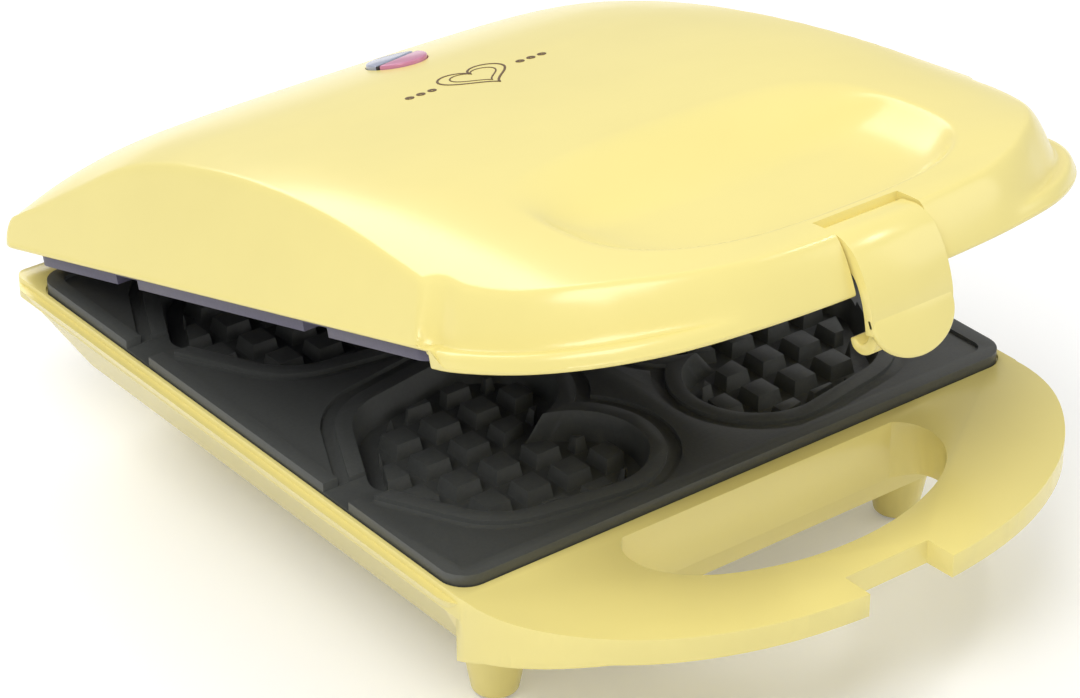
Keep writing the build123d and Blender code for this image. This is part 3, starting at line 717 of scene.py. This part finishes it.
def half_oval(side):
    """The front or the back half of the lamp's oval, short of the slanting bar between them."""
    gap = LAMP_SPLIT / LAMP_HALF_X
    turns = np.linspace(gap, math.pi - gap, 40) * side + LAMP_TURN
    return [(LAMP_HALF_X * math.cos(t), LAMP_Y + LAMP_HALF_Y * math.sin(t)) for t in turns]


def slanting_bar():
    """Outline of the bar between the lamp's halves."""
    c, s = math.cos(LAMP_TURN), math.sin(LAMP_TURN)
    length, half = LAMP_HALF_X - 0.1, LAMP_SPLIT - 0.05
    corners = ((-length, -half), (length, -half), (length, half), (-length, half))
    return [(x * c - y * s, LAMP_Y + x * s + y * c) for x, y in corners]


lamp_piece("lens_back", half_oval(1), 1.3, 1.1, lens_green, "lamp_lens_green")
lamp_piece("lens_front", half_oval(-1), 1.3, 1.1, lens_red, "lamp_lens_red")
lamp_piece("lens_bar", slanting_bar(), 1.0, 0.3, dark, "lamp_divider")

# printed ornament: hearts as (size, line width), and rows of dots beside them
MOTIF_Y = 108.0
MOTIF_PROUD = 0.12
MOTIF_SUNK = -0.3
HEARTS = ((11.0, 0.7), (7.5, 0.45))
DOT_START = 16.0
DOT_STEP = 4.0
DOT_RADIUS = 0.9
DOT_LINE = 1.0


def heart(cx, cy, size, count=60):
    """Outline of a heart, by the usual formula, point towards the front."""
    turns = np.linspace(0, 2 * math.pi, count, endpoint=False)
    x = np.sin(turns) ** 3
    y = 13 * np.cos(turns) - 5 * np.cos(2 * turns) - 2 * np.cos(3 * turns) - np.cos(4 * turns)
    y = y / 16
    return [(cx + size * a, cy + size * b) for a, b in zip(x, y)]


def printed_line(outline, width):
    """Closed line of ink laid on the lid, as a thin band that follows its surface."""
    middle = np.array(outline)
    along = np.roll(middle, -1, axis=0) - np.roll(middle, 1, axis=0)
    aside = np.stack([along[:, 1], -along[:, 0]], axis=1)
    aside /= np.linalg.norm(aside, axis=1)[:, None]
    n = len(middle)
    points = []
    corners = ((-1, MOTIF_PROUD), (1, MOTIF_PROUD), (1, MOTIF_SUNK), (-1, MOTIF_SUNK))
    for shift, lift in corners:
        ring = middle + aside * width / 2 * shift
        heights = lid_height(ring[:, 0], ring[:, 1]) + lift
        points += [(x, y, z) for (x, y), z in zip(ring, heights)]
    faces = []
    for k in range(4):
        for i in range(n):
            j = (i + 1) % n
            m = (k + 1) % 4
            faces.append((k * n + i, m * n + i, m * n + j, k * n + j))
    return closed(to_lid(points), faces)


def build_motif():
    """Plain printed ornament: one heart within another, and a row of dots on each side."""
    lines = [printed_line(heart(0, MOTIF_Y, size), width) for size, width in HEARTS]
    for side in (-1, 1):
        for step in range(3):
            x = side * (DOT_START + DOT_STEP * step)
            lines.append(printed_line(oval(x, MOTIF_Y, DOT_RADIUS, DOT_RADIUS, 16), DOT_LINE))
    return joined("motif", lines)


motif = build_motif()
smooth(motif)
paint(motif.data, ink)
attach(motif, "lid")

# sizes of a screw in metres, and its turn in radians
SCREW_SIZES = {
    "Head Radius": 0.0030,
    "Head Height": 0.0012,
    "Shank Radius": 0.0014,
    "Shank Length": 0.006,
    "Turn": 0.0,
}


def add_node(tree, kind, **values):
    """New node with the values of its inputs."""
    node = tree.nodes.new(kind)
    for name, value in values.items():
        node.inputs[name.replace("_", " ")].default_value = value
    return node


def screw_tree(material):
    """A screw with a tapering head and a shank on every point of the mesh it is given."""
    tree = bpy.data.node_groups.new("screw_set", "GeometryNodeTree")
    tree.interface.new_socket("Geometry", in_out="INPUT", socket_type="NodeSocketGeometry")
    for name, value in SCREW_SIZES.items():
        socket = tree.interface.new_socket(name, in_out="INPUT", socket_type="NodeSocketFloat")
        socket.default_value = value
    tree.interface.new_socket("Geometry", in_out="OUTPUT", socket_type="NodeSocketGeometry")
    link = tree.links.new
    given = tree.nodes.new("NodeGroupInput")
    result = tree.nodes.new("NodeGroupOutput")
    head = add_node(tree, "GeometryNodeMeshCone", Vertices=32)
    link(given.outputs["Head Radius"], head.inputs["Radius Bottom"])
    narrower = add_node(tree, "ShaderNodeMath")
    narrower.operation = "MULTIPLY"
    narrower.inputs[1].default_value = 0.72
    link(given.outputs["Head Radius"], narrower.inputs[0])
    link(narrower.outputs["Value"], head.inputs["Radius Top"])
    link(given.outputs["Head Height"], head.inputs["Depth"])
    shank = add_node(tree, "GeometryNodeMeshCylinder", Vertices=24)
    link(given.outputs["Shank Radius"], shank.inputs["Radius"])
    link(given.outputs["Shank Length"], shank.inputs["Depth"])
    half = add_node(tree, "ShaderNodeMath")
    half.operation = "MULTIPLY"
    half.inputs[1].default_value = -0.5
    link(given.outputs["Shank Length"], half.inputs[0])
    below = add_node(tree, "ShaderNodeCombineXYZ")
    link(half.outputs["Value"], below.inputs["Z"])
    lowered = add_node(tree, "GeometryNodeTransform")
    link(shank.outputs["Mesh"], lowered.inputs["Geometry"])
    link(below.outputs["Vector"], lowered.inputs["Translation"])
    both = add_node(tree, "GeometryNodeJoinGeometry")
    link(head.outputs["Mesh"], both.inputs["Geometry"])
    link(lowered.outputs["Geometry"], both.inputs["Geometry"])
    turned = add_node(tree, "ShaderNodeCombineXYZ")
    link(given.outputs["Turn"], turned.inputs["X"])
    placed = add_node(tree, "GeometryNodeInstanceOnPoints")
    link(given.outputs["Geometry"], placed.inputs["Points"])
    link(both.outputs["Geometry"], placed.inputs["Instance"])
    link(turned.outputs["Vector"], placed.inputs["Rotation"])
    real = add_node(tree, "GeometryNodeRealizeInstances")
    link(placed.outputs["Instances"], real.inputs["Geometry"])
    finish = add_node(tree, "GeometryNodeSetMaterial")
    finish.inputs["Material"].default_value = material
    link(real.outputs["Geometry"], finish.inputs["Geometry"])
    link(finish.outputs["Geometry"], result.inputs["Geometry"])
    return tree


def screw_set(name, node, tree, spots, body, slot, **sizes):
    """Screws on all the spots, in place of a node; sizes change those of SCREW_SIZES."""
    obj = new_mesh(name, spots, [])
    modifier = obj.modifiers.new("screws", "NODES")
    modifier.node_group = tree
    for item in tree.interface.items_tree:
        if item.in_out == "INPUT" and item.name in sizes:
            modifier[item.identifier] = sizes[item.name]
    bake_modifiers(obj)
    smooth(obj)
    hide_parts(node)
    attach(obj, body)
    return obj


# places of the screws in plan, as (X, Y) pairs
COVER_SCREWS = ((-82.0, -18.0), (82.0, -18.0))
PLATE_SCREWS = ((0.0, 12.0), (0.0, 106.0), (0.0, 200.0))
COVER_SEAT = GRIP_RIM + 1.0
screws = screw_tree(steel)
low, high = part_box("lower_plate_screws")
seat = low.z + SCREW_SIZES["Head Height"]
screw_set(
    "plate_screws",
    "lower_plate_screws",
    screws,
    [(x / 1000, (y - ORIGIN_Y) / 1000, seat) for x, y in PLATE_SCREWS],
    "base",
    "zinc_steel",
    **{"Shank Length": high.z - seat, "Turn": math.pi},
)
screw_set(
    "cover_screws",
    "handle_cover_screws",
    screws,
    to_lid([(x, y, COVER_SEAT) for x, y in COVER_SCREWS]),
    "lid",
    "zinc_steel",
    **{"Head Height": 0.0008, "Turn": math.pi - REST_ANGLE},
)

# softened copies of CAD pieces: material, slot, rounding in millimetres, body
FINISHES = {
    "base_shell": (yellow, "yellow_plastic", 1.2, "base"),
    "base_feet": (yellow, "yellow_plastic", 0.8, "base"),
    "base_hinge_lugs": (yellow, "yellow_plastic", 0.6, "base"),
    "lid_handle_cover": (yellow, "yellow_plastic", 0.4, "lid"),
    "lower_plate": (coating, "nonstick", 0.5, "base"),
    "upper_plate": (violet_coating, "nonstick", 0.5, "lid"),
}
for node, (material, slot, width, body) in FINISHES.items():
    fit(soft_copy(node, width), material, node, body)

# pieces shown as the CAD has them
NODE_MATERIALS = {
    "foot_pads": rubber,
    "cord_gland": rubber,
    "lower_element": tube,
    "upper_element": tube,
    "lower_element_clips": steel,
    "upper_element_clips": steel,
    "lower_reflector": bright_sheet,
    "upper_reflector": bright_sheet,
    "upper_plate_studs": steel,
    "hinge_pins": steel,
    "latch_pin": steel,
    "terminal_block": ceramic,
    "thermostat": ceramic,
    "thermal_fuse": steel,
    "lower_leads": sleeve,
    "upper_leads": sleeve,
    "lamp_holder": white,
    "neon_lamps": lens_red,
}
for node, material in NODE_MATERIALS.items():
    paint(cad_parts[node].data, material)


# studio
FLOOR_HALF = 3.0
FLOOR_LIFT = 0.17


def highest(nodes, links, first, second):
    """Math node that gives the greater of two outputs."""
    node = nodes.new("ShaderNodeMath")
    node.operation = "MAXIMUM"
    links.new(first, node.inputs[0])
    links.new(second, node.inputs[1])
    return node.outputs["Value"]


def pale_floor():
    """Floor that looks a little brighter than its light alone would make it."""
    corners = [(-1, -1), (1, -1), (1, 1), (-1, 1)]
    points = [(x * FLOOR_HALF, y * FLOOR_HALF, 0) for x, y in corners]
    floor = new_mesh("floor", points, [(0, 1, 2, 3)])
    material, nodes, links, shader = base_material("pale_floor")
    shader.inputs["Base Color"].default_value = (0.86, 0.86, 0.86, 1)
    shader.inputs["Roughness"].default_value = 0.6
    rays = nodes.new("ShaderNodeLightPath")
    seen = rays.outputs["Is Camera Ray"]
    for kind in ("Is Glossy Ray", "Is Transmission Ray"):
        seen = highest(nodes, links, seen, rays.outputs[kind])
    lift = nodes.new("ShaderNodeMath")
    lift.operation = "MULTIPLY"
    lift.inputs[1].default_value = FLOOR_LIFT
    links.new(seen, lift.inputs[0])
    shader.inputs["Emission Color"].default_value = (1, 1, 1, 1)
    links.new(lift.outputs["Value"], shader.inputs["Emission Strength"])
    floor.data.materials.append(material)
    return floor


def area_light(name, at, aim, size, power, size_y=None):
    """Square light, or one of two sizes, turned towards a point."""
    data = bpy.data.lights.new(name, "AREA")
    data.energy = power
    data.size = size
    if size_y:
        data.shape = "RECTANGLE"
        data.size_y = size_y
    obj = bpy.data.objects.new(name, data)
    obj.location = at
    obj.rotation_euler = (Vector(aim) - Vector(at)).to_track_quat("-Z", "Y").to_euler()
    bpy.context.scene.collection.objects.link(obj)
    return obj


stage = [pale_floor()]
stage.append(area_light("key", (-0.9, -0.5, 1.5), (0, 0, 0.05), 1.0, 17))
stage.append(area_light("fill", (1.3, -1.0, 0.9), (0, 0, 0.05), 1.0, 4.5))
stage.append(area_light("rear", (0.2, 1.5, 1.1), (0, 0, 0.05), 1.0, 10))
stage.append(area_light("strip", (0.8, -0.25, 1.4), (0, -0.1, 0.15), 0.3, 2.0, 0.08))

world = bpy.data.worlds.new("studio")
world.use_nodes = True
world.node_tree.nodes["Background"].inputs["Color"].default_value = (1, 1, 1, 1)
world.node_tree.nodes["Background"].inputs["Strength"].default_value = 0.5
bpy.context.scene.world = world
bpy.context.scene.view_settings.view_transform = "Standard"

camera_data = bpy.data.cameras.new("camera")
camera = bpy.data.objects.new("camera", camera_data)
bpy.context.scene.collection.objects.link(camera)
camera_data.sensor_width = 36.0
camera_data.lens = 123.87
camera.location = (-0.5843, -0.7380, 0.5937)
view_azimuth, view_elevation, view_roll = math.radians(-37.94), math.radians(29.9), 0.0
camera.rotation_euler = (math.radians(90) - view_elevation, view_roll, view_azimuth)
bpy.context.scene.camera = camera
